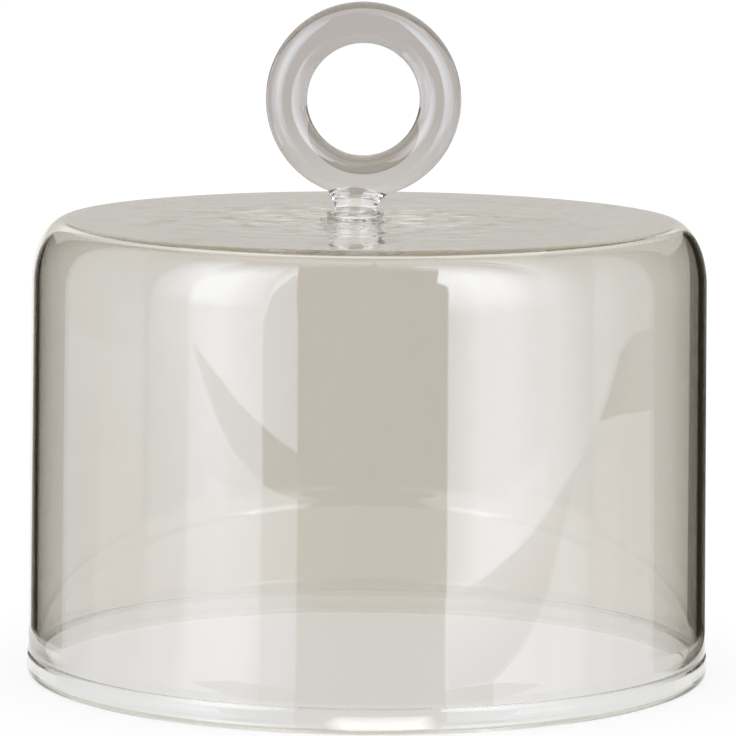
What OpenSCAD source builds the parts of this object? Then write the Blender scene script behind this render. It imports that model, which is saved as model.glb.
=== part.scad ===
// Glass food cover: a smoked bell with a flat crown, carried by a clear finger ring fused on top.
// Millimetres. The rim stands on z = 0, the bell's axis is Z and the ring stands in the XZ plane.

/* [Bell] */
// Outer diameter of the bell, across the bead of its rim
bell_d = 200; // [120:1:300]
// Outer diameter of the bell where the wall runs into the shoulder
shoulder_d = 197; // [116:1:298]
// Height of the bell, from the table to the middle of its crown
bell_h = 133.5; // [80:0.5:200]
// Thickness of the blown wall
wall = 2.4; // [1.6:0.1:3.6]
// Outer radius of the shoulder, where it turns into the crown
shoulder_r = 5.4; // [4.4:0.1:12]
// Outer radius of the shoulder's flank, where it runs down into the wall
flank_r = 28.4; // [16:0.2:50]
// Angle above level at which the two radii meet
shoulder_turn = 35; // [20:1:50]
// Rise of the crown from the shoulder to the middle
crown_rise = 0.2; // [0.1:0.1:4]

/* [Rim] */
// Height of the fire-polished bead
bead_h = 7; // [5.4:0.1:12]
// Thickness of the bead
bead_t = 4.2; // [3.8:0.1:5.2]
// How far the bead stands out from the wall
bead_proud = 0.4; // [0.1:0.1:1]
// Width of the flat land that the rim stands on
land_w = 1.6; // [0.6:0.1:2.6]

/* [Handle] */
// Diameter of the finger hole in the ring
ring_bore = 32.4; // [22:0.2:50]
// Diameter of the glass rod that the ring is bent from
rod_d = 12.4; // [8:0.2:18]
// Sideways place of the ring, set by hand, from the bell's axis
ring_x = -2.1; // [-4:0.1:4]
// Diameter of the stem at its foot and under the ring
stem_d = 12.2; // [8:0.1:18]
// Diameter of the stem's waist
waist_d = 11.4; // [7:0.1:17]
// Clear height of the waist, from the collar to the ring's lowest point
waist_h = 3.3; // [2:0.1:12]
// Depth of the saddle in which the ring sits in the stem
saddle = 2.8; // [1:0.1:3.6]
// Sideways place of the stem, set by hand, from the bell's axis
stem_x = -4.3; // [-6:0.1:6]

/* [Weld] */
// Diameter of the thin pad that ties the stem to the crown
pad_d = 22.4; // [20:0.2:40]
// Thickness of the pad above the middle of the crown
pad_t = 0.8; // [0.4:0.1:2]
// Width of the collar bead outside the stem
collar_w = 2.8; // [1.2:0.1:3]
// Height of the collar bead
collar_h = 2.1; // [1:0.1:2.2]

/* [Hidden] */
$fn = 96;

// Overshoot of cuts, so that no cut ends on a face
cut = 1;
// Number of straight steps in each arc of the shoulder
arc_steps = 12;

// Unit vector at an angle above level
function direction(angle) = [cos(angle), sin(angle)];

// Half-section of the bell: centres of flank and shoulder, foot of the wall, middle of the crown
bell_r = bell_d / 2;
to_shoulder = (flank_r - shoulder_r) * direction(shoulder_turn);
flank_c = [shoulder_d / 2 - flank_r, bell_h - crown_rise - shoulder_r - to_shoulder.y];
shoulder_c = flank_c + to_shoulder;
wall_foot = [bell_r - bead_proud, 0];
crown_mid = [0, bell_h];
bead_r = bead_t / 2;
bead_x = bell_r - bead_r;
bead_low_z = sqrt(bead_r * bead_r - land_w * land_w / 4);

// Heights of the handle, from the crown up
pad_top = bell_h + pad_t;
collar_top = pad_top + collar_h;
ring_low = collar_top + waist_h;
ring_mean_r = (ring_bore + rod_d) / 2;
ring_z = ring_low + ring_mean_r + rod_d / 2;

// Arc that hollows the waist: its chord is the waist's height and its sag the loss of radius
waist_sag = (stem_d - waist_d) / 2;
waist_arc_r = (waist_h * waist_h / 4 + waist_sag * waist_sag) / (2 * waist_sag);

smoked_glass = [0.60, 0.58, 0.53, 0.45];
clear_glass = [0.90, 0.91, 0.90, 0.40];

// Outward normal of the line from p that touches the circle round c with radius r;
// side is 1 for a line that passes the circle on its right and -1 on its left.
function tangent_normal(p, c, r, side) =
    let (d = c - p)
    direction(atan2(d.y, d.x) - side * asin(r / norm(d)) - side * 90);

wall_n = tangent_normal(wall_foot, flank_c, flank_r, 1);
crown_n = tangent_normal(crown_mid, shoulder_c, shoulder_r, -1);

// Where the line through p, square to normal n, stands at height z or at radius x
function line_x(p, n, z) = p.x - (z - p.y) * n.y / n.x;
function line_z(p, n, x) = p.y - (x - p.x) * n.x / n.y;

// Points along the shoulder's two arcs, from wall to crown, taken in by inset from the outer face
function shoulder_points(inset) =
    let (wall_turn = atan2(wall_n.y, wall_n.x), crown_turn = atan2(crown_n.y, crown_n.x))
    concat(
        [for (i = [0 : arc_steps])
            let (turn = wall_turn + (shoulder_turn - wall_turn) * i / arc_steps)
            flank_c + (flank_r - inset) * direction(turn)],
        [for (i = [1 : arc_steps])
            let (turn = shoulder_turn + (crown_turn - shoulder_turn) * i / arc_steps)
            shoulder_c + (shoulder_r - inset) * direction(turn)]
    );

// The bell's half-section filled to the axis, taken in by inset from the outer face and cut off at z = low
module filled_section(inset, low) {
    foot = wall_foot - inset * wall_n;
    middle = crown_mid - inset * crown_n;
    polygon(concat(
        [[0, low], [line_x(foot, wall_n, low), low]],
        shoulder_points(inset),
        [[0, line_z(middle, crown_n, 0)]]
    ));
}

// The bead's section: two rounds and the flat between them, cut off level where it stands
module bead_section() {
    intersection() {
        union() {
            for (z = [bead_low_z, bead_h - bead_r]) translate([bead_x, z]) circle(bead_r);
            translate([bead_x - bead_r, bead_low_z]) square([bead_t, bead_h - bead_r - bead_low_z]);
        }
        translate([bead_x - bead_t, 0]) square([2 * bead_t, bead_h + cut]);
    }
}

// Smoked bell: wall, shoulder and crown of even thickness, with the bead that closes the rim
module bell() {
    color(smoked_glass) rotate_extrude() {
        difference() {
            filled_section(0, bead_low_z);
            filled_section(wall, -cut);
        }
        bead_section();
    }
}

// The ring's torus, which also cuts the saddle in the stem
module ring_torus() {
    translate([ring_x, 0, ring_z]) rotate([90, 0, 0])
        rotate_extrude() translate([ring_mean_r, 0]) circle(d = rod_d);
}

// Finger ring: a clear rod bent round and closed
module ring() {
    color(clear_glass) ring_torus();
}

// Thin pad of clear glass, round at its edge, whose underside follows the crown
module weld_pad() {
    color(clear_glass) difference() {
        translate([stem_x, 0, pad_top]) rotate_extrude() {
            translate([0, -pad_t - cut]) square([pad_d / 2 - pad_t, pad_t + cut]);
            translate([pad_d / 2 - pad_t, -pad_t]) circle(pad_t);
            translate([0, -pad_t - cut]) square([pad_d / 2, cut]);
        }
        rotate_extrude() filled_section(0, bead_low_z);
    }
}

// Short post between pad and ring, hollowed at its waist, with the ring's saddle in its head
module stem() {
    color(clear_glass) difference() {
        translate([stem_x, 0, pad_top]) rotate_extrude() difference() {
            square([stem_d / 2, collar_h + waist_h + saddle]);
            translate([waist_d / 2 + waist_arc_r, collar_h + waist_h / 2]) circle(waist_arc_r);
        }
        ring_torus();
    }
}

// Bead of clear glass laid round the stem's foot, on the pad
module weld_collar() {
    color(clear_glass) translate([stem_x, 0, pad_top]) rotate_extrude() {
        translate([stem_d / 2, 0]) square([collar_w - collar_h / 2, collar_h]);
        translate([stem_d / 2 + collar_w - collar_h / 2, collar_h / 2]) circle(d = collar_h);
    }
}

bell();
weld_pad();
stem();
weld_collar();
ring();
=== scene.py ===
import math

import bmesh
import bpy
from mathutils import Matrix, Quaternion, Vector, noise
from mathutils.bvhtree import BVHTree


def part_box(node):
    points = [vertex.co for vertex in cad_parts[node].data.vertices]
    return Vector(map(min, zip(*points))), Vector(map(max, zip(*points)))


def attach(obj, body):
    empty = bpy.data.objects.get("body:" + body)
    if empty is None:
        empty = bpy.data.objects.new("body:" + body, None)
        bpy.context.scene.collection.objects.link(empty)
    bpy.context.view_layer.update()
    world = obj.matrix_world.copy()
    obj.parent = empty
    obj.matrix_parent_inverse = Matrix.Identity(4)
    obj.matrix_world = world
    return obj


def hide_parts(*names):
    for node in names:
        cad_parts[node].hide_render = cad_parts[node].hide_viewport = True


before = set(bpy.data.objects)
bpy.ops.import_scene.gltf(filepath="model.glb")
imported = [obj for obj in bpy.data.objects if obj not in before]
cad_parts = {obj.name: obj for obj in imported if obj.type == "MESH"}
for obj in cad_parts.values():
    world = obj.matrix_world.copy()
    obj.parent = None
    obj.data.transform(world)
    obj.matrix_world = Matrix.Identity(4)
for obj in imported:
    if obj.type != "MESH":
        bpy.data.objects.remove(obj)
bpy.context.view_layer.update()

# Smoked bell
# Blown from smoked soda-lime glass into a straight-sided mould: its wall is even, its crown almost flat.
# The cracked-off rim was melted round in a flame, which drew it into a bead thicker than the wall.
bell_low, bell_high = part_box("bell")
rim_r = bell_high.x
crown_z = bell_high.z
wall = 0.0024
shoulder_w = 0.0096
shoulder_h = 0.0186
shoulder_out = 0.0985
crown_rise = 0.0002
bead_t = 0.0042
bead_proud = 0.0004
bead_start_z = 0.0060
bead_end_z = 0.0074
land_w = 0.0016


def arc(centre, radius, start, end, steps):
    """Points on a circle of the half-section, from one angle in degrees to another, both included."""
    angles = [math.radians(start + (end - start) * i / steps) for i in range(steps + 1)]
    return [(centre[0] + radius * math.cos(a), centre[1] + radius * math.sin(a)) for a in angles]


def ease(x):
    """Rises smoothly from 0 to 1 as x does."""
    x = min(max(x, 0.0), 1.0)
    return x * x * (3 - 2 * x)


# The shoulder is a quarter of an oval, and the wall's line touches it: the touch is found with the oval
# stretched to a circle.
shoulder_c = (shoulder_out - shoulder_w, crown_z - crown_rise - shoulder_h)
foot_r = rim_r - bead_proud
to_shoulder = ((shoulder_c[0] - foot_r) * shoulder_h / shoulder_w, shoulder_c[1])
sight = math.atan2(to_shoulder[1], to_shoulder[0])
touch = sight - math.asin(shoulder_h / math.hypot(*to_shoulder)) - math.pi / 2
wall_lean = math.degrees(math.atan2(math.sin(touch) / shoulder_h, math.cos(touch) / shoulder_w))
crown_lean = 90 - math.degrees(2 * crown_rise / shoulder_c[0])


def shoulder_points(inset, steps):
    """The shoulder's half-section from crown to wall, taken in from its outer face."""
    points = []
    for i in range(steps + 1):
        lean = math.radians(crown_lean + (wall_lean - crown_lean) * i / steps)
        t = math.atan2(shoulder_h * math.sin(lean), shoulder_w * math.cos(lean))
        r = shoulder_c[0] + shoulder_w * math.cos(t) - inset * math.cos(lean)
        points.append((r, shoulder_c[1] + shoulder_h * math.sin(t) - inset * math.sin(lean)))
    return points


def wall_r(z, inset):
    """Radius of the plain wall at a height, taken in from its outer face."""
    return foot_r - z * math.tan(math.radians(wall_lean)) - inset / math.cos(math.radians(wall_lean))


def crown_points(inset, count):
    """The crown's half-section from its middle to the shoulder, a shallow parabola."""
    end_r, end_z = shoulder_points(inset, 1)[0]
    fall = crown_z - inset - end_z
    radii = [end_r * i / count for i in range(count)]
    return [(r, crown_z - inset - fall * (r / end_r) ** 2) for r in radii]


swell_steps = 10
bead_steps = 4


def wall_points(inset, bead_face_r, count):
    """The half-section of the wall from the shoulder down into one face of the bead."""
    top = shoulder_points(inset, 1)[1][1]
    low = bead_t / 2
    heights = [top + (bead_end_z - top) * i / count for i in range(1, count)]
    heights += [bead_end_z + (bead_start_z - bead_end_z) * i / swell_steps for i in range(swell_steps + 1)]
    heights += [bead_start_z + (low - bead_start_z) * i / bead_steps for i in range(1, bead_steps)]
    points = []
    for z in heights:
        into_bead = ease((bead_end_z - z) / (bead_end_z - bead_start_z))
        points.append((wall_r(z, inset) * (1 - into_bead) + bead_face_r * into_bead, z))
    return points


bead_r = bead_t / 2
bead_c = (rim_r - bead_r, math.sqrt(bead_r**2 - (land_w / 2) ** 2))
land_turn = math.degrees(math.asin(bead_c[1] / bead_r))
top_steps = 80
under_steps = 40
shoulder_steps = 30
wall_steps = 16
round_steps = 7
outer_face = crown_points(0, top_steps) + shoulder_points(0, shoulder_steps)
outer_face += wall_points(0, rim_r, wall_steps) + arc(bead_c, bead_r, 0, -land_turn, round_steps)
inner_face = crown_points(wall, under_steps) + shoulder_points(wall, shoulder_steps)
inner_face += wall_points(wall, rim_r - bead_t, wall_steps)
inner_face += arc(bead_c, bead_r, 180, 180 + land_turn, round_steps)
half_section = outer_face + inner_face[::-1]


def node(tree, kind, inputs=(), **settings):
    """Adds a node, sets its properties, and links or sets each of its named inputs."""
    made = tree.nodes.new(kind)
    for name, value in settings.items():
        setattr(made, name, value)
    for key, value in dict(inputs).items():
        if isinstance(value, bpy.types.NodeSocket):
            tree.links.new(value, made.inputs[key])
        else:
            made.inputs[key].default_value = value
    return made


def linear(hex_colour):
    """An sRGB hex colour as linear red, green, blue and alpha."""
    parts = [int(hex_colour[i : i + 2], 16) / 255 for i in (0, 2, 4)]
    return [c / 12.92 if c <= 0.04045 else ((c + 0.055) / 1.055) ** 2.4 for c in parts] + [1.0]


glass_ior = 1.5
streak_stretch = (1, 1, 0.3)
most_haze = 0.02


def glass(name, pale_hex, deep_hex, streak_mm, wave_mm, wave_height):
    """Gloss glass with a streaky film of tint and the slow waves of a fire-made skin."""
    material = bpy.data.materials.new(name)
    material.use_nodes = True
    tree = material.node_tree
    tree.nodes.clear()
    place = node(tree, "ShaderNodeTexCoord").outputs["Object"]
    drawn = node(tree, "ShaderNodeMapping", {"Vector": place, "Scale": streak_stretch}).outputs["Vector"]
    streaks = node(tree, "ShaderNodeTexNoise", {"Vector": drawn, "Scale": 1000 / streak_mm, "Detail": 2.0})
    tint = node(tree, "ShaderNodeMix", {"Factor": streaks.outputs["Fac"]}, data_type="RGBA")
    tint.inputs[6].default_value = linear(pale_hex)
    tint.inputs[7].default_value = linear(deep_hex)
    waves = node(tree, "ShaderNodeTexNoise", {"Vector": drawn, "Scale": 1000 / wave_mm, "Detail": 1.0})
    skin = node(
        tree,
        "ShaderNodeBump",
        {"Height": waves.outputs["Fac"], "Distance": wave_height, "Strength": 1.0},
    )
    haze = node(
        tree,
        "ShaderNodeMapRange",
        {"Value": streaks.outputs["Fac"], "To Min": 0.0, "To Max": most_haze},
    )
    shader = node(
        tree,
        "ShaderNodeBsdfPrincipled",
        {
            "Base Color": tint.outputs[2],
            "Roughness": haze.outputs["Result"],
            "Normal": skin.outputs["Normal"],
            "IOR": glass_ior,
            "Transmission Weight": 1.0,
        },
    )
    node(tree, "ShaderNodeOutputMaterial", {"Surface": shader.outputs["BSDF"]})
    return material


# Clear soda-lime glass under a smoke-coloured film: grey-brown on every face, and pale at the thick rim,
# where the paler tint is painted light.
smoked_glass = glass("smoked_blown_glass", "e9e6e1", "e3dfd7", streak_mm=60, wave_mm=40, wave_height=0.00003)
tree = smoked_glass.node_tree
depth = node(tree, "ShaderNodeVolumeAbsorption", {"Color": linear("b4a878"), "Density": 5.0})
tree.links.new(depth.outputs["Volume"], tree.nodes["Material Output"].inputs["Volume"])


def fade_tint(material, low, high, hex_colour):
    """Lets a glass's tint run out into another colour from one height down to a lower one."""
    tree = material.node_tree
    place = node(tree, "ShaderNodeTexCoord").outputs["Object"]
    height = node(tree, "ShaderNodeSeparateXYZ", {"Vector": place}).outputs["Z"]
    kept = node(tree, "ShaderNodeMapRange", {"Value": height, "From Min": low, "From Max": high})
    tint = tree.nodes["Principled BSDF"].inputs["Base Color"]
    faded = node(tree, "ShaderNodeMix", {"Factor": kept.outputs["Result"]}, data_type="RGBA")
    faded.inputs[6].default_value = linear(hex_colour)
    tree.links.new(tint.links[0].from_socket, faded.inputs[7])
    tree.links.new(faded.outputs[2], tint)


# Painted light: the film's tint runs out into a pale one down at the rim, which brightens the lip.
fade_tint(smoked_glass, low=0.005, high=0.009, hex_colour="ecebe7")

profile = bpy.data.curves.new("bell_profile", "CURVE")
profile.dimensions = "3D"
line = profile.splines.new("POLY")
line.points.add(len(half_section) - 1)
for point, (r, z) in zip(line.points, half_section):
    point.co = (r, 0, z, 1)
bell = bpy.data.objects.new("bell_profile", profile)
bpy.context.scene.collection.objects.link(bell)

turning = bpy.data.node_groups.new("turned_bell", "GeometryNodeTree")
for name, kind in [
    ("Profile", "NodeSocketGeometry"),
    ("Profile Points", "NodeSocketInt"),
    ("Segments", "NodeSocketInt"),
    ("Joint X", "NodeSocketFloat"),
    ("Crown Height", "NodeSocketFloat"),
    ("Ripple Height", "NodeSocketFloat"),
    ("Ripple Length", "NodeSocketFloat"),
    ("Ripple Reach", "NodeSocketFloat"),
    ("Glass", "NodeSocketMaterial"),
]:
    turning.interface.new_socket(name, in_out="INPUT", socket_type=kind)
turning.interface.new_socket("Mesh", in_out="OUTPUT", socket_type="NodeSocketGeometry")
given = node(turning, "NodeGroupInput").outputs
columns = node(turning, "ShaderNodeMath", {0: given["Segments"], 1: 1.0}, operation="ADD").outputs[0]
grid = node(
    turning,
    "GeometryNodeMeshGrid",
    {"Vertices X": given["Profile Points"], "Vertices Y": columns},
)
index = node(turning, "GeometryNodeInputIndex").outputs[0]
half_on = node(turning, "ShaderNodeMath", {0: index, 1: 0.5}, operation="ADD").outputs[0]
rows_on = node(turning, "ShaderNodeMath", {0: half_on, 1: columns}, operation="DIVIDE").outputs[0]
row = node(turning, "ShaderNodeMath", {0: rows_on}, operation="FLOOR").outputs[0]
row_start = node(turning, "ShaderNodeMath", {0: row, 1: columns}, operation="MULTIPLY").outputs[0]
column = node(turning, "ShaderNodeMath", {0: index, 1: row_start}, operation="SUBTRACT").outputs[0]
way_round = node(turning, "ShaderNodeMath", {0: column, 1: given["Segments"]}, operation="DIVIDE").outputs[0]
turn = node(turning, "ShaderNodeMath", {0: way_round, 1: math.tau}, operation="MULTIPLY").outputs[0]
profile_mesh = node(turning, "GeometryNodeCurveToMesh", {"Curve": given["Profile"]})
at_row = node(
    turning,
    "GeometryNodeSampleIndex",
    {
        "Geometry": profile_mesh.outputs["Mesh"],
        "Value": node(turning, "GeometryNodeInputPosition").outputs[0],
        "Index": row,
    },
    data_type="FLOAT_VECTOR",
)
section = node(turning, "ShaderNodeSeparateXYZ", {"Vector": at_row.outputs["Value"]}).outputs
across = node(turning, "ShaderNodeMath", {0: turn}, operation="COSINE").outputs[0]
deep = node(turning, "ShaderNodeMath", {0: turn}, operation="SINE").outputs[0]
x = node(turning, "ShaderNodeMath", {0: section["X"], 1: across}, operation="MULTIPLY").outputs[0]
y = node(turning, "ShaderNodeMath", {0: section["X"], 1: deep}, operation="MULTIPLY").outputs[0]

# Ripples: the crown sank and set unevenly round the hot joint, in broken rings that die away outwards.
ring_breaks = 4.5
middle_r = 0.001
crown_band = 0.0012
weld_gap = 0.000005
from_joint = node(turning, "ShaderNodeMath", {0: x, 1: given["Joint X"]}, operation="SUBTRACT").outputs[0]
x_squared = node(turning, "ShaderNodeMath", {0: from_joint, 1: from_joint}, operation="MULTIPLY").outputs[0]
y_squared = node(turning, "ShaderNodeMath", {0: y, 1: y}, operation="MULTIPLY").outputs[0]
r_squared = node(turning, "ShaderNodeMath", {0: x_squared, 1: y_squared}, operation="ADD").outputs[0]
joint_r = node(turning, "ShaderNodeMath", {0: r_squared}, operation="SQRT").outputs[0]
safe_r = node(turning, "ShaderNodeMath", {0: joint_r, 1: middle_r}, operation="MAXIMUM").outputs[0]
way_x = node(turning, "ShaderNodeMath", {0: from_joint, 1: safe_r}, operation="DIVIDE").outputs[0]
way_y = node(turning, "ShaderNodeMath", {0: y, 1: safe_r}, operation="DIVIDE").outputs[0]
break_x = node(turning, "ShaderNodeMath", {0: way_x, 1: ring_breaks}, operation="MULTIPLY").outputs[0]
break_y = node(turning, "ShaderNodeMath", {0: way_y, 1: ring_breaks}, operation="MULTIPLY").outputs[0]
ring_on = node(
    turning,
    "ShaderNodeMath",
    {0: joint_r, 1: given["Ripple Length"]},
    operation="DIVIDE",
).outputs[0]
broken = node(turning, "ShaderNodeCombineXYZ", {"X": break_x, "Y": break_y, "Z": ring_on})
swell = node(turning, "ShaderNodeTexNoise", {"Vector": broken.outputs[0], "Scale": 1.0, "Detail": 0.0})
reach = node(turning, "ShaderNodeMath", {0: joint_r, 1: given["Ripple Reach"]}, operation="DIVIDE").outputs[0]
reach_squared = node(turning, "ShaderNodeMath", {0: reach, 1: reach}, operation="MULTIPLY").outputs[0]
dying = node(turning, "ShaderNodeMath", {0: reach_squared, 1: -1.0}, operation="MULTIPLY").outputs[0]
fading = node(turning, "ShaderNodeMath", {0: dying}, operation="EXPONENT").outputs[0]
crown_edge = node(
    turning,
    "ShaderNodeMath",
    {0: given["Crown Height"], 1: crown_band},
    operation="SUBTRACT",
).outputs[0]
on_top = node(
    turning,
    "ShaderNodeMath",
    {0: section["Z"], 1: crown_edge},
    operation="GREATER_THAN",
).outputs[0]
up_or_down = node(
    turning,
    "ShaderNodeMath",
    {0: swell.outputs["Fac"], 1: 0.5},
    operation="SUBTRACT",
).outputs[0]
faded = node(turning, "ShaderNodeMath", {0: up_or_down, 1: fading}, operation="MULTIPLY").outputs[0]
share = node(turning, "ShaderNodeMath", {0: faded, 1: on_top}, operation="MULTIPLY").outputs[0]
ripple = node(
    turning,
    "ShaderNodeMath",
    {0: share, 1: given["Ripple Height"]},
    operation="MULTIPLY",
).outputs[0]
z = node(turning, "ShaderNodeMath", {0: section["Z"], 1: ripple}, operation="ADD").outputs[0]
place = node(turning, "ShaderNodeCombineXYZ", {"X": x, "Y": y, "Z": z})
turned = node(
    turning,
    "GeometryNodeSetPosition",
    {"Geometry": grid.outputs["Mesh"], "Position": place.outputs[0]},
)
closed = node(turning, "GeometryNodeMergeByDistance", {"Geometry": turned.outputs[0], "Distance": weld_gap})
smooth = node(turning, "GeometryNodeSetShadeSmooth", {"Geometry": closed.outputs[0]})
real = node(turning, "GeometryNodeRealizeInstances", {"Geometry": smooth.outputs[0]})
glazed = node(turning, "GeometryNodeSetMaterial", {"Geometry": real.outputs[0], "Material": given["Glass"]})
node(turning, "NodeGroupOutput", {"Mesh": glazed.outputs[0]})

stem_low, stem_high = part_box("stem")
stem_x = (stem_low.x + stem_high.x) / 2


def run_tree(source, tree, name, values):
    """Runs a Geometry Nodes tree on an object with these inputs and keeps the result as a plain mesh."""
    modifier = source.modifiers.new(name, "NODES")
    modifier.node_group = tree
    for item in tree.interface.items_tree:
        if item.name in values:
            modifier[item.identifier] = values[item.name]
    evaluated = source.evaluated_get(bpy.context.evaluated_depsgraph_get())
    mesh = bpy.data.meshes.new_from_object(evaluated)
    source.modifiers.remove(modifier)
    made = bpy.data.objects.new(name, mesh)
    bpy.context.scene.collection.objects.link(made)
    bpy.data.objects.remove(source)
    outward = bmesh.new()
    outward.from_mesh(mesh)
    bmesh.ops.recalc_face_normals(outward, faces=outward.faces)
    outward.to_mesh(mesh)
    outward.free()
    return made


bell = run_tree(
    bell,
    turning,
    "smoked_bell",
    {
        "Profile Points": len(half_section),
        "Segments": 320,
        "Joint X": stem_x,
        "Crown Height": crown_z,
        "Ripple Height": 0.00090,
        "Ripple Length": 0.0065,
        "Ripple Reach": 0.042,
        "Glass": smoked_glass,
    },
)
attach(bell, "root")
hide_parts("bell")

# Finger ring
# A rod of clear glass, softened in the flame, bent round a former and closed on itself.
# Its thickness varies a little round the bend, and fire polish leaves it bright all over.
ring_low, ring_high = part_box("ring")
ring_c = (ring_low + ring_high) / 2
rod_r = (ring_high.y - ring_low.y) / 2
ring_mean_r = (ring_high.x - ring_low.x) / 2 - rod_r

# Clear soda-lime glass: nearly colourless, with a faint grey tint on its faces.
clear_glass = glass(
    "clear_fire_polished_glass", "c3beba", "bab4b0", streak_mm=25, wave_mm=9, wave_height=0.00002
)

# Painted light: the grey runs out towards the ring's foot, and in the stem, which is of the same glass, next
# to none is left; this lightens the ring's lower inside and the stem.
pale_z = ring_low.z + 0.002
grey_z = ring_low.z + 0.024
stem_grey_z = ring_low.z + 0.004
fade_tint(clear_glass, pale_z, grey_z, "d0ccc8")
fade_tint(clear_glass, stem_low.z, stem_grey_z, "eeecea")

bend_steps = 384
rod_steps = 120
swells_per_metre = 45.0
bending = bpy.data.node_groups.new("bent_ring", "GeometryNodeTree")
for name, kind in [
    ("Seat", "NodeSocketGeometry"),
    ("Centre", "NodeSocketVector"),
    ("Bend Radius", "NodeSocketFloat"),
    ("Rod Radius", "NodeSocketFloat"),
    ("Unevenness", "NodeSocketFloat"),
    ("Glass", "NodeSocketMaterial"),
]:
    bending.interface.new_socket(name, in_out="INPUT", socket_type=kind)
bending.interface.new_socket("Mesh", in_out="OUTPUT", socket_type="NodeSocketGeometry")
given = node(bending, "NodeGroupInput").outputs
bend = node(
    bending,
    "GeometryNodeCurvePrimitiveCircle",
    {"Resolution": bend_steps, "Radius": given["Bend Radius"]},
)
stood_up = node(
    bending,
    "GeometryNodeTransform",
    {
        "Geometry": bend.outputs["Curve"],
        "Translation": given["Centre"],
        "Rotation": (math.pi / 2, 0, 0),
    },
)
rod = node(
    bending,
    "GeometryNodeCurvePrimitiveCircle",
    {"Resolution": rod_steps, "Radius": given["Rod Radius"]},
)
drawn = node(bending, "ShaderNodeTexNoise", {"Scale": swells_per_metre, "Detail": 0.0}).outputs["Fac"]
thinning = node(
    bending,
    "ShaderNodeMath",
    {0: drawn, 1: given["Unevenness"]},
    operation="MULTIPLY",
).outputs[0]
rod_share = node(bending, "ShaderNodeMath", {0: 1.0, 1: thinning}, operation="SUBTRACT").outputs[0]
swept = node(
    bending,
    "GeometryNodeCurveToMesh",
    {
        "Curve": stood_up.outputs[0],
        "Profile Curve": rod.outputs["Curve"],
        "Scale": rod_share,
    },
)
smooth = node(bending, "GeometryNodeSetShadeSmooth", {"Geometry": swept.outputs["Mesh"]})
real = node(bending, "GeometryNodeRealizeInstances", {"Geometry": smooth.outputs[0]})
glazed = node(bending, "GeometryNodeSetMaterial", {"Geometry": real.outputs[0], "Material": given["Glass"]})
node(bending, "NodeGroupOutput", {"Mesh": glazed.outputs[0]})

former = bpy.data.objects.new("ring_former", bpy.data.meshes.new("ring_former"))
bpy.context.scene.collection.objects.link(former)
ring = run_tree(
    former,
    bending,
    "finger_ring",
    {
        "Centre": ring_c,
        "Bend Radius": ring_mean_r,
        "Rod Radius": rod_r,
        "Unevenness": 0.03,
        "Glass": clear_glass,
    },
)
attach(ring, "root")
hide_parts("ring")

# Stem
# A short post of clear rod, pressed against the hot ring so that its head flowed out along the underside.
# It sinks a hair into the pad and the ring, as fused glass does, so that no film of air shows between them.
stem_r = (stem_high.x - stem_low.x) / 2
waist_in = 0.0004
waist_r = stem_r - waist_in
foot_h = 0.004
head_start = 0.0005
sink = 0.0003
head_blend = 0.0065
head_slope = 1.4
widest_r = 0.02
halvings = 40
pad_low, pad_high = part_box("weld_pad")
pad_top = pad_high.z


def ring_distance(point):
    """How far a point lies outside the ring's skin."""
    to_bend = math.hypot(point.x - ring_c.x, point.z - ring_c.z) - ring_mean_r
    return math.hypot(to_bend, point.y) - rod_r


def post_distance(point):
    """How far a point lies outside the post, which is widest at its foot and tapers off within the ring."""
    foot = ease(1 - (point.z - pad_top) / foot_h)
    head = max(point.z - ring_low.z - head_start, 0) * head_slope
    return math.hypot(point.x - stem_x, point.y) - waist_r - (stem_r - waist_r) * foot + head


def flowed(a, b, width):
    """Two distances joined as surfaces that flow into each other over a width."""
    near = max(width - abs(a - b), 0) / width
    return min(a, b) - near * near * width / 4


def skin_radius(turn, z):
    """Radius of the stem's skin about its axis, at a turn and a height."""
    within = 0.0
    beyond = widest_r
    for _ in range(halvings):
        r = (within + beyond) / 2
        point = Vector((stem_x + r * math.cos(turn), r * math.sin(turn), z))
        if flowed(post_distance(point), ring_distance(point) + sink, head_blend) < 0:
            within = r
        else:
            beyond = r
    return within


def seat_height(x, y):
    """Height of the surface that lies twice the sink inside the ring's underside."""
    side = math.sqrt(max((rod_r - 2 * sink) ** 2 - y * y, 0))
    return ring_c.z - math.sqrt(max((ring_mean_r + side) ** 2 - (x - ring_c.x) ** 2, 0))


def turned_mesh(name, rows, material):
    """A closed mesh from rows of points round an axis; the first and last rows are filled with a fan."""
    mesh = bmesh.new()
    loops = [[mesh.verts.new(p) for p in points] for points in rows]
    count = len(rows[0])
    for low, high in zip(loops, loops[1:]):
        for i in range(count):
            mesh.faces.new((low[i], low[(i + 1) % count], high[(i + 1) % count], high[i]))
    for loop in (loops[0], loops[-1]):
        middle = mesh.verts.new(sum((v.co for v in loop), Vector()) / count)
        for i in range(count):
            mesh.faces.new((loop[i], loop[(i + 1) % count], middle))
    bmesh.ops.recalc_face_normals(mesh, faces=mesh.faces)
    for face in mesh.faces:
        face.smooth = True
    data = bpy.data.meshes.new(name)
    mesh.to_mesh(data)
    mesh.free()
    data.materials.append(material)
    made = bpy.data.objects.new(name, data)
    bpy.context.scene.collection.objects.link(made)
    return made


# The same clear glass in small bits, with next to no grey tint.
weld_glass = glass("clear_weld_glass", "f6f6f4", "eeedea", streak_mm=25, wave_mm=6, wave_height=0.00003)

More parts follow.
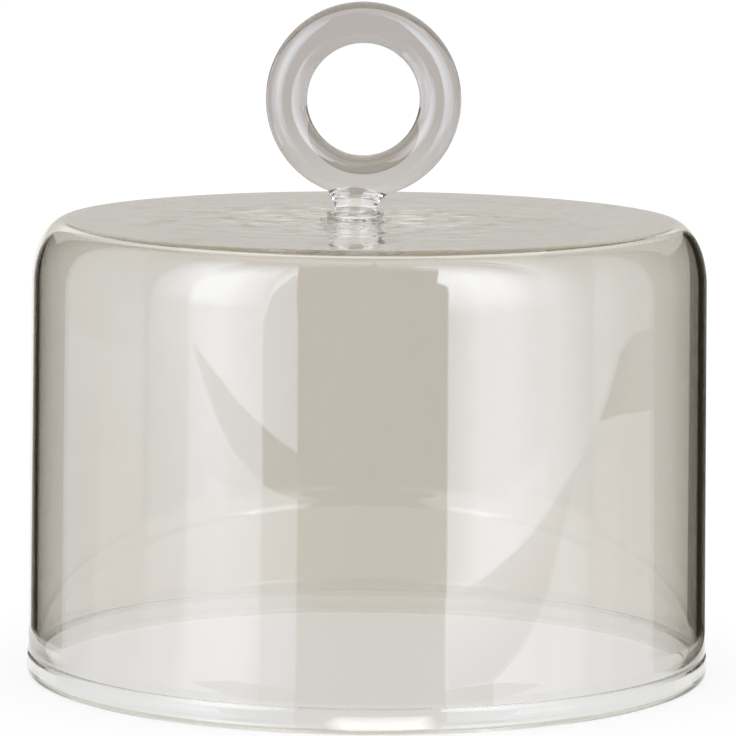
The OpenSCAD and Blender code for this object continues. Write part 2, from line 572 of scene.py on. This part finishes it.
turn_steps = 144
turns = [math.tau * i / turn_steps for i in range(turn_steps)]
head_side_z = ring_low.z + 0.0036
head_front_z = ring_low.z + 0.0060
stem_steps = 60
seat_steps = 10
stem_rows = []
for i in range(stem_steps + 1):
    row = []
    for turn in turns:
        top = head_side_z + (head_front_z - head_side_z) * math.sin(turn) ** 2
        z = pad_top - sink + (top - pad_top + sink) * i / stem_steps
        r = skin_radius(turn, z)
        row.append(Vector((stem_x + r * math.cos(turn), r * math.sin(turn), z)))
    stem_rows.append(row)
for i in range(1, seat_steps):
    row = []
    for rim in stem_rows[stem_steps]:
        x = stem_x + (rim.x - stem_x) * (1 - i / seat_steps)
        y = rim.y * (1 - i / seat_steps)
        row.append(Vector((x, y, seat_height(x, y))))
    stem_rows.append(row)
stem = turned_mesh("stem", stem_rows, clear_glass)
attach(stem, "root")
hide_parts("stem")

# Weld collar
# A bead of clear glass trailed round the stem's foot to seal it. It was laid and never reworked, so it is
# lumpy, and it laps a little into the stem.
collar_low, collar_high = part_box("weld_collar")
collar_out = (collar_high.x - collar_low.x) / 2
collar_h = collar_high.z - collar_low.z
collar_lap = 0.0008
collar_half_w = (collar_out - stem_r + collar_lap) / 2
collar_mid_r = collar_out - collar_half_w
lump_mm = 3.0
lump = 0.00035
lump_twist = 0.0003
collar_steps = 160
bead_sides = 28
collar_mesh = bmesh.new()
collar_rings = []
for turn in [math.tau * i / collar_steps for i in range(collar_steps)]:
    section_ring = []
    for tilt in [math.tau * j / bead_sides for j in range(bead_sides)]:
        along = Vector((math.cos(turn), math.sin(turn), 0))
        spot = Vector((along.x * collar_mid_r, along.y * collar_mid_r, tilt * lump_twist))
        bulge = noise.noise(spot * 1000 / lump_mm)
        half_w = collar_half_w - lump + lump * bulge
        half_h = collar_h / 2 + sink / 2 - lump / 2 + lump * bulge / 2
        r = collar_mid_r + half_w * math.cos(tilt)
        z = pad_top - sink + half_h * (1 + math.sin(tilt))
        section_ring.append(collar_mesh.verts.new(along * r + Vector((stem_x, 0, z))))
    collar_rings.append(section_ring)
for ring_a, ring_b in zip(collar_rings, collar_rings[1:] + collar_rings[:1]):
    for j in range(bead_sides):
        k = (j + 1) % bead_sides
        collar_mesh.faces.new((ring_a[j], ring_b[j], ring_b[k], ring_a[k])).smooth = True
bmesh.ops.recalc_face_normals(collar_mesh, faces=collar_mesh.faces)
collar_data = bpy.data.meshes.new("weld_collar_bead")
collar_mesh.to_mesh(collar_data)
collar_mesh.free()
collar_data.materials.append(weld_glass)
collar = bpy.data.objects.new("weld_collar_bead", collar_data)
bpy.context.scene.collection.objects.link(collar)
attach(collar, "root")
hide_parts("weld_collar")

# Weld pad
# A small gather of clear glass dropped on the crown and flattened by the stem, so its edge runs out thin
# and wavy.
pad_r = (pad_high.x - pad_low.x) / 2
pad_wave = 0.0006
pad_waves = 1.7
pad_fill = 1.6
pad_fall = 0.6
pad_edge = 6
pad_steps = 14
pad_shares = [1 - (i / pad_steps) ** 2 for i in range(pad_steps + 1)]
pad_rows = []
for share in pad_shares[::-1][1:]:
    row = []
    for turn in turns:
        edge = pad_r - pad_wave * (1 + noise.noise(Vector((math.cos(turn), math.sin(turn), 0)) * pad_waves))
        r = edge * share
        x = stem_x + r * math.cos(turn)
        y = r * math.sin(turn)
        crown = crown_z - crown_rise * (math.hypot(x, y) / shoulder_c[0]) ** 2
        row.append(Vector((x, y, crown - sink)))
    pad_rows.append(row)
for share in pad_shares[1:-1]:
    row = []
    for rim in pad_rows[pad_steps - 1]:
        x = stem_x + (rim.x - stem_x) * share
        y = rim.y * share
        crown = crown_z - crown_rise * (math.hypot(x, y) / shoulder_c[0]) ** 2
        thick = (pad_top - crown_z) * min(1.0, (1 - share**2) * pad_fill) ** pad_fall
        row.append(Vector((x, y, crown - sink + (thick + sink) * math.sqrt(1 - share**pad_edge))))
    pad_rows.append(row)
pad = turned_mesh("weld_pad_disc", pad_rows, weld_glass)

# Melted joints: where one piece of clear glass runs on into another, no surface is left between them.
seam = bpy.data.materials.new("melted_glass_joint")
seam.use_nodes = True
seam.node_tree.nodes["Principled BSDF"].inputs["Alpha"].default_value = 0.0
clear_pieces = [ring, stem, collar, pad]
skins = []
for piece in clear_pieces:
    corners = [v.co for v in piece.data.vertices]
    skins.append(BVHTree.FromPolygons(corners, [tuple(p.vertices) for p in piece.data.polygons]))


test_ways = (Vector((0.36, 0.48, 0.8)), Vector((-0.48, 0.6, 0.64)), Vector((0.28, -0.96, 0)))
past_skin = 0.000002


def inside(skin, point):
    """Whether most of three lines out of the point cross the skin an odd number of times."""
    votes = 0
    for way in test_ways:
        place = skin.ray_cast(point, way)[0]
        while place:
            votes += 1
            place = skin.ray_cast(place + way * past_skin, way)[0]
            if place:
                votes -= 1
                place = skin.ray_cast(place + way * past_skin, way)[0]
    return votes > 1


for piece in clear_pieces:
    piece.data.materials.append(seam)
    others = [skin for skin, other in zip(skins, clear_pieces) if other is not piece]
    for face in piece.data.polygons:
        if any(inside(skin, face.center) for skin in others):
            face.material_index = 1
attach(pad, "root")
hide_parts("weld_pad")

# Floor
# A pale matt table that runs out of sight, bright enough to read as white, and it takes the cover's soft
# shadow. Through glass and in reflections it is a plain white, with a painted shadow that makes it a little
# darker under the cover.
floor_half = 8.0
floor_mesh = bpy.data.meshes.new("floor")
corners = [(-1, -1), (1, -1), (1, 1), (-1, 1)]
floor_mesh.from_pydata([(x * floor_half, y * floor_half, 0) for x, y in corners], [], [(0, 1, 2, 3)])
floor_paint = bpy.data.materials.new("matt_white_table")
floor_paint.use_nodes = True
paint = floor_paint.node_tree.nodes["Principled BSDF"].inputs
paint["Base Color"].default_value = linear("959595")
paint["Roughness"].default_value = 1.0
paint["Specular IOR Level"].default_value = 0.0
paint["Emission Color"].default_value = linear("ffffff")
paint["Emission Strength"].default_value = 0.74
tree = floor_paint.node_tree
place = node(tree, "ShaderNodeTexCoord").outputs["Object"]
from_axis = node(tree, "ShaderNodeVectorMath", {0: place}, operation="LENGTH").outputs["Value"]
# Painted shadow: seen through glass the table dims to this share of white within shade_r of the axis, and is
# full white past open_r.
shade_r = 0.090
open_r = 0.125
shaded = 0.90
lit = node(
    tree,
    "ShaderNodeMapRange",
    {"Value": from_axis, "From Min": shade_r, "From Max": open_r, "To Min": shaded, "To Max": 1.0},
)
through_glass = node(tree, "ShaderNodeEmission", {"Strength": lit.outputs["Result"]})
seen = node(tree, "ShaderNodeMixShader", {0: node(tree, "ShaderNodeLightPath").outputs["Is Camera Ray"]})
tree.links.new(through_glass.outputs["Emission"], seen.inputs[1])
tree.links.new(tree.nodes["Principled BSDF"].outputs["BSDF"], seen.inputs[2])
tree.links.new(seen.outputs["Shader"], tree.nodes["Material Output"].inputs["Surface"])
floor_mesh.materials.append(floor_paint)
floor = bpy.data.objects.new("floor", floor_mesh)
bpy.context.scene.collection.objects.link(floor)

# Studio
# Cards that only the glass sees: dark ones beside the bell draw its dark outlines, and bright ones to the
# left and right give its reflections. They turn with the camera, as round an object on a turntable.
studio = bpy.data.objects.new("studio", None)
bpy.context.scene.collection.objects.link(studio)

card_light = bpy.data.materials.new("studio_card")
card_light.use_nodes = True
tree = card_light.node_tree
tree.nodes.clear()
glow = node(tree, "ShaderNodeAttribute", attribute_name="glow")
light = node(tree, "ShaderNodeEmission", {"Color": glow.outputs["Color"], "Strength": 1.0})
node(tree, "ShaderNodeOutputMaterial", {"Surface": light.outputs["Emission"]})


def card(name, points, faces, hex_colour, strengths):
    """A card of flat faces with a strength of light at each point, which only the glass sees."""
    mesh = bpy.data.meshes.new(name)
    mesh.from_pydata(points, [], faces)
    lit = mesh.attributes.new("glow", "FLOAT_COLOR", "POINT")
    for point, strength in zip(lit.data, strengths):
        point.color = [c * strength for c in linear(hex_colour)]
    mesh.materials.append(card_light)
    made = bpy.data.objects.new(name, mesh)
    bpy.context.scene.collection.objects.link(made)
    made.parent = studio
    made.visible_camera = False
    made.visible_diffuse = False
    made.visible_shadow = False
    return made


def upright(name, feet, levels, hex_colour):
    """A standing card: feet are (x, y, lower edge, strength), levels are (height, share of the strength)."""
    points = [(x, y, low) for x, y, low, _ in feet]
    strengths = [strength for _, _, _, strength in feet]
    for height, share in levels:
        points += [(x, y, height) for x, y, _, _ in feet]
        strengths += [strength * share for _, _, _, strength in feet]
    count = len(feet)
    faces = []
    for j in range(len(levels)):
        for i in range(j * count, (j + 1) * count - 1):
            faces.append((i, i + 1, i + 1 + count, i + count))
    return card(name, points, faces, hex_colour, strengths)


def flat(name, near, far, z, hex_colour, near_strengths, far_strengths):
    """A card that lies level between two rows of points, with a strength at each of them."""
    points = [(x, y, z) for x, y in near] + [(x, y, z) for x, y in far]
    count = len(near)
    faces = [(i, i + 1, i + 1 + count, i + count) for i in range(count - 1)]
    return card(name, points, faces, hex_colour, near_strengths + far_strengths)


rim_gap = 0.016
mirror_tries = 30
# Flat cards lie in layers just over the table, each one over those that it hides.
table_z = 0.0003
cloth_z = 0.0004
shade_z = 0.0005
lip_z = 0.0006


def rim_spot(foot):
    """Point of the table just past the rim, on the way from the bell's face to the foot that it mirrors."""
    turn = 0.0
    for _ in range(mirror_tries):
        spot = Vector((math.sin(turn), -math.cos(turn))) * foot_r
        way = Vector(foot) - spot
        turn = math.atan2(way.x, -way.y) / 2
    return tuple(spot + way.normalized() * rim_gap)


rise_share = 0.55
fade_share = 0.85


def panel_light(z, foot_light, full_light, heights):
    """Strength of a panel at a height: it grows over the shade at its foot and fades over its bright part."""
    shade_top, bright_top, _ = heights
    rise = 1 - math.exp(-max(z - shade_top, 0) / (rise_share * shade_top))
    fade = max(z - bright_top, 0) / (fade_share * bright_top)
    return (foot_light + (full_light - foot_light) * rise) / (1 + fade**2)


panel_rows = 20


def side(name, stations, heights, rim_share, hex_colour):
    """A lit panel on a row of feet and the lit table before it.

    Stations are (x, y, strength of the table, of the panel's foot, of its bright part). Heights are (top of
    the shade at its foot, top of its bright part, its own top). rim_share is what is left of the table's
    strength at the rim.
    """
    feet = [(x, y) for x, y, _, _, _ in stations]
    table = [s[2] for s in stations]
    near_table = [strength * rim_share for strength in table]
    flat(name + "_table", [rim_spot(f) for f in feet], feet, table_z, hex_colour, near_table, table)
    points = []
    strengths = []
    for z in [heights[2] * (j / panel_rows) ** 2 for j in range(panel_rows + 1)]:
        points += [(x, y, z) for x, y in feet]
        strengths += [panel_light(z, s[3], s[4], heights) for s in stations]
    count = len(feet)
    faces = []
    for j in range(panel_rows):
        faces += [(i, i + 1, i + 1 + count, i + count) for i in range(j * count, (j + 1) * count - 1)]
    card(name + "_panel", points, faces, hex_colour, strengths)


daylight = "e6efff"
black = "000000"
far_heights = (0.20, 0.95, 1.8)
left_heights = (0.13, 0.62, 1.5)
right_heights = (0.115, 0.31, 0.8)
shaded_heights = (0.20, 0.95, 0.95)
side("left_end", [
    (-0.900, 0.541, 1.05, 0.95, 0.95),
    (-1.001, 0.145, 1.6, 1.4, 1.4),
    (-1.016, -0.265, 2.2, 2.0, 2.2),
], far_heights, rim_share=0.8, hex_colour=daylight)
side("left_fill", [
    (-1.016, -0.265, 2.6, 2.8, 3.0),
    (-0.980, -0.563, 3.9, 4.0, 6.2),
], far_heights, rim_share=0.7, hex_colour=daylight)
side("left_softbox", [
    (-0.980, -0.563, 4.8, 4.9, 7.1),
    (-0.720, -0.643, 5.1, 5.7, 7.6),
    (-0.442, -0.668, 3.4, 4.2, 4.9),
], left_heights, rim_share=0.62, hex_colour=daylight)
side("left_shaded", [
    (-0.442, -0.668, 2.4, 2.9, 2.9),
    (-0.266, -0.666, 1.6, 2.2, 2.2),
], shaded_heights, rim_share=0.65, hex_colour=daylight)
side("right_softbox", [
    (0.112, -0.319, 1.9, 2.2, 6.2),
    (0.201, -0.316, 3.1, 5.0, 7.6),
    (0.286, -0.312, 3.1, 5.1, 7.3),
    (0.396, -0.293, 2.6, 4.1, 4.7),
    (0.499, -0.270, 2.9, 3.9, 4.4),
], right_heights, rim_share=1.0, hex_colour=daylight)
side("right_end", [
    (0.499, -0.270, 2.9, 3.9, 4.2),
    (0.679, -0.188, 2.0, 2.5, 2.2),
    (1.006, -0.006, 1.6, 1.7, 1.6),
    (1.061, 0.139, 1.4, 1.3, 1.3),
    (0.970, 0.560, 1.0, 0.8, 0.7),
], far_heights, rim_share=0.9, hex_colour=daylight)

# The softbox stands on over the shaded end of its panel, whose top runs up in a curve.
shade_line = [(-0.442, 0.05), (-0.422, 0.08), (-0.404, 0.31), (-0.367, 0.52), (-0.342, 0.68), (-0.300, 0.95)]
hot_y = -0.665
hot_z = left_heights[2]
hot_foot = 4.6
hot_full = 5.8
hot_points = [(x, hot_y, z) for x, z in shade_line] + [(-0.442, hot_y, hot_z), (-0.300, hot_y, hot_z)]
hot_strengths = [panel_light(z, hot_foot, hot_full, left_heights) for _, _, z in hot_points]
card("left_softbox_top", hot_points, [(0, 1, 2, 3, 4, 5, 7, 6)], daylight, hot_strengths)

# Before the panels' feet the table lies in their shade, from an edge on the table to the foot.
left_edge = [(-0.930, -0.571), (-0.520, -0.524), (-0.330, -0.518)]
left_foot = [(-0.979, -0.574), (-0.647, -0.658), (-0.442, -0.668)]
right_edge = [(0.045, -0.136), (0.121, -0.163), (0.205, -0.185)]
right_edge += [(0.363, -0.218), (0.566, -0.230), (0.700, -0.172)]
right_foot = [(0.130, -0.318), (0.270, -0.313), (0.378, -0.297)]
right_foot += [(0.500, -0.270), (0.590, -0.238), (0.702, -0.172)]
end_edge = [(0.747, -0.142), (0.763, -0.040), (0.755, 0.060), (0.728, 0.181), (0.715, 0.230)]
end_foot = [(0.754, -0.143), (0.977, -0.051), (1.063, 0.087), (1.040, 0.310), (1.030, 0.350)]
corner_edge = [left_edge[-1], (-0.206, -0.536)]
corner_foot = [left_foot[-1], (-0.266, -0.666)]


def ramp(start, end, count):
    """Strengths that run evenly from one to another."""
    return [start + (end - start) * i / (count - 1) for i in range(count)]


for name, near, far, near_ends, far_ends in (
    ("left_shade", left_edge, left_foot, (3.5, 2.6), (3.5, 2.6)),
    ("left_corner", corner_edge, corner_foot, (0.4, 0.2), (0.4, 0.2)),
    ("right_shade", right_edge, right_foot, (1.2, 2.1), (3.0, 2.0)),
    ("right_corner", end_edge, end_foot, (0.45, 0.85), (0.45, 0.85)),
):
    flat(name, near, far, shade_z, daylight, ramp(*near_ends, len(near)), ramp(*far_ends, len(far)))

# Dark cards: the camera's side of the room, and the flags that draw the bell's dark edges. The room's edges
# lean out as they rise, so that they stand straight in the curve of the shoulder.
verge_x = -0.266
verge_top = 1.308
verge_lean = 0.185
verge_bend = 1.75
verge_steps = 8
left_verge = []
for rise in [i / verge_steps for i in range(verge_steps + 1)]:
    left_verge.append((verge_x - verge_lean * rise**verge_bend, verge_top * rise))
right_verge = [(0.130, 0), (0.129, 0.133), (0.138, 0.246), (0.121, 0.284), (0.161, 0.506)]
left_y = -0.660
right_y = -0.313
room_x = 0.02
room_top = 1.5
for name, verge, y in (("left_dark", left_verge, left_y), ("right_dark", right_verge, right_y)):
    points = [(x, y, z) for x, z in verge] + [(room_x, y, verge[-1][1]), (room_x, y, 0)]
    card(name, points, [tuple(range(len(points)))], black, [0] * len(points))
upright("camera_side", [(room_x, left_y, 0, 0), (room_x, right_y, 0, 0)], [(room_top, 1)], black)
cloth_near = [(-0.026, -0.111), (0.029, -0.111)]
cloth_far = [(-0.41, -1.0), (0.46, -1.0)]
flat("front_cloth", cloth_near, cloth_far, cloth_z, black, [0, 0], [0, 0])
flag_hex = "2c271c"
flag_y = 0.065
flag_z = 0.145
flag_top_z = 0.30
for name, far_x, near in (("left_flag", -0.1225, (-0.150, -0.003)), ("right_flag", 0.1085, (0.144, -0.031))):
    upright(name, [(far_x, flag_y, 0, 1), (*near, 0, 1)], [(flag_z, 1)], flag_hex)
    top_feet = [(far_x, flag_y, flag_z, 1), (*near, flag_z, 1)]
    top = upright(name + "_top", top_feet, [(flag_top_z, 1)], flag_hex)
    top.visible_transmission = False
# The flags' near ends catch a little light, which fades along them.
for name, near, far, strength in (
    ("left_flag_glow", (-0.149, -0.003), (-0.1325, 0.038), 0.2),
    ("right_flag_glow", (0.143, -0.031), (0.1312, 0.001), 0.5),
):
    upright(name, [(*near, 0, strength), (*far, 0, 0.0)], [(flag_top_z, 1)], daylight)

# The sweep's grey foot, which the crown mirrors, and the light spot before the lip.
sweep_levels = [(0.15, 1.0), (0.23, 0.50), (0.42, 0.52), (0.60, 1.0)]
sweep_x = 3
sweep_y = 1.6
sweep_feet = [(-sweep_x, sweep_y, 0, 1.0), (sweep_x, sweep_y, 0, 1.0)]
sweep = upright("sweep", sweep_feet, sweep_levels, "fffdf8")
sweep.visible_transmission = False
lip_y = -0.1005
lip_far_y = -0.130
glint_mid_y = -0.114
glint_strength = 8
glint_columns = [(-0.012, -0.0205, 0), (-0.006, -0.0125, 1), (0.016, 0.0225, 1), (0.022, 0.0305, 0)]
glint_near = [(near, lip_y) for near, far, _ in glint_columns]
glint_mid = [((near + far) / 2, glint_mid_y) for near, far, _ in glint_columns]
glint_far = [(far, lip_far_y) for near, far, _ in glint_columns]
glint_light = [glint_strength * share for _, _, share in glint_columns]
for name, near, far, far_light in (
    ("front_glint", glint_near, glint_mid, glint_light),
    ("front_glint_end", glint_mid, glint_far, [0] * len(glint_columns)),
):
    glint = flat(name, near, far, shade_z, "ffffff", glint_light, far_light)
    glint.visible_transmission = False
lip_x = 0.080
lip_near = [(-lip_x, lip_y), (lip_x, lip_y)]
lip_far = [(-lip_x, lip_far_y), (lip_x, lip_far_y)]
lip_cloth = flat("lip_cloth", lip_near, lip_far, lip_z, black, [0, 0], [0, 0])
lip_cloth.visible_glossy = False

# Painted shade: a one-way black hood inside the bell's front, and a blinker at each side of it. A ray from
# the camera passes them, and one that comes back meets black, so they hide only the second images in the back
# wall.
one_way_shade = bpy.data.materials.new("one_way_painted_shade")
one_way_shade.use_nodes = True
tree = one_way_shade.node_tree
tree.nodes.clear()
outward_side = node(tree, "ShaderNodeNewGeometry").outputs["Backfacing"]
hidden = node(tree, "ShaderNodeMixShader", {0: outward_side})
tree.links.new(node(tree, "ShaderNodeBsdfTransparent").outputs["BSDF"], hidden.inputs[1])
tree.links.new(node(tree, "ShaderNodeEmission", {"Strength": 0.0}).outputs["Emission"], hidden.inputs[2])
node(tree, "ShaderNodeOutputMaterial", {"Surface": hidden.outputs["Shader"]})
hood_low = 0.0076
hood_high = 0.112
hood_gap = 0.0006
hood_turn = 78
hood_step = 4
hood_points = []
for z in (hood_low, hood_high):
    for turn in [math.radians(a) for a in range(-hood_turn, hood_turn + 1, hood_step)]:
        r = wall_r(z, wall) - hood_gap
        hood_points.append((r * math.sin(turn), -r * math.cos(turn), z))
count = len(hood_points) // 2
hood_faces = [(i, i + 1, i + 1 + count, i + count) for i in range(count - 1)]
hood = card("hood", hood_points, hood_faces, black, [0] * len(hood_points))
hood.data.materials[0] = one_way_shade
blinker_near = 0.0893
blinker_far = 0.45
blinker_y = -0.045
blinker_low = 0.0045
for name, left_x, right_x in (
    ("left_blinker", -blinker_far, -blinker_near),
    ("right_blinker", blinker_near, blinker_far),
):
    feet = [(left_x, blinker_y, blinker_low, 0), (right_x, blinker_y, blinker_low, 0)]
    blinker = upright(name, feet, [(hood_high, 1)], black)
    blinker.data.materials[0] = one_way_shade
    blinker.visible_glossy = False

# World
# An even white sky, at the strength that shows a colour as it is written.
world = bpy.data.worlds.new("white_studio")
world.use_nodes = True
world.node_tree.nodes["Background"].inputs["Color"].default_value = linear("ffffff")
world.node_tree.nodes["Background"].inputs["Strength"].default_value = 1.0
bpy.context.scene.world = world

# Camera
# A long lens a little above the cover, pointed down at it and tipped a hair to one side.
camera_place = Vector((-0.0002, -1.4862, 0.2780))
camera_aim = Vector((-0.0002, 0, 0.08955))
camera_tip = 0.422
sensor = 36.0
focal_px = 5115
image_px = 736
lens = bpy.data.cameras.new("camera")
lens.sensor_width = sensor
lens.lens = focal_px / image_px * sensor
camera = bpy.data.objects.new("camera", lens)
camera.location = camera_place
aimed = (camera_aim - camera_place).to_track_quat("-Z", "Y")
camera.rotation_euler = (aimed @ Quaternion((0, 0, 1), math.radians(camera_tip))).to_euler()
bpy.context.scene.collection.objects.link(camera)
bpy.context.scene.camera = camera
follow = studio.constraints.new("COPY_ROTATION")
follow.target = camera
follow.use_x = False
follow.use_y = False

bpy.context.scene.view_settings.view_transform = "Standard"
light_bounces = 128
bpy.context.scene.cycles.max_bounces = light_bounces
bpy.context.scene.cycles.transmission_bounces = light_bounces
bpy.context.scene.cycles.glossy_bounces = light_bounces
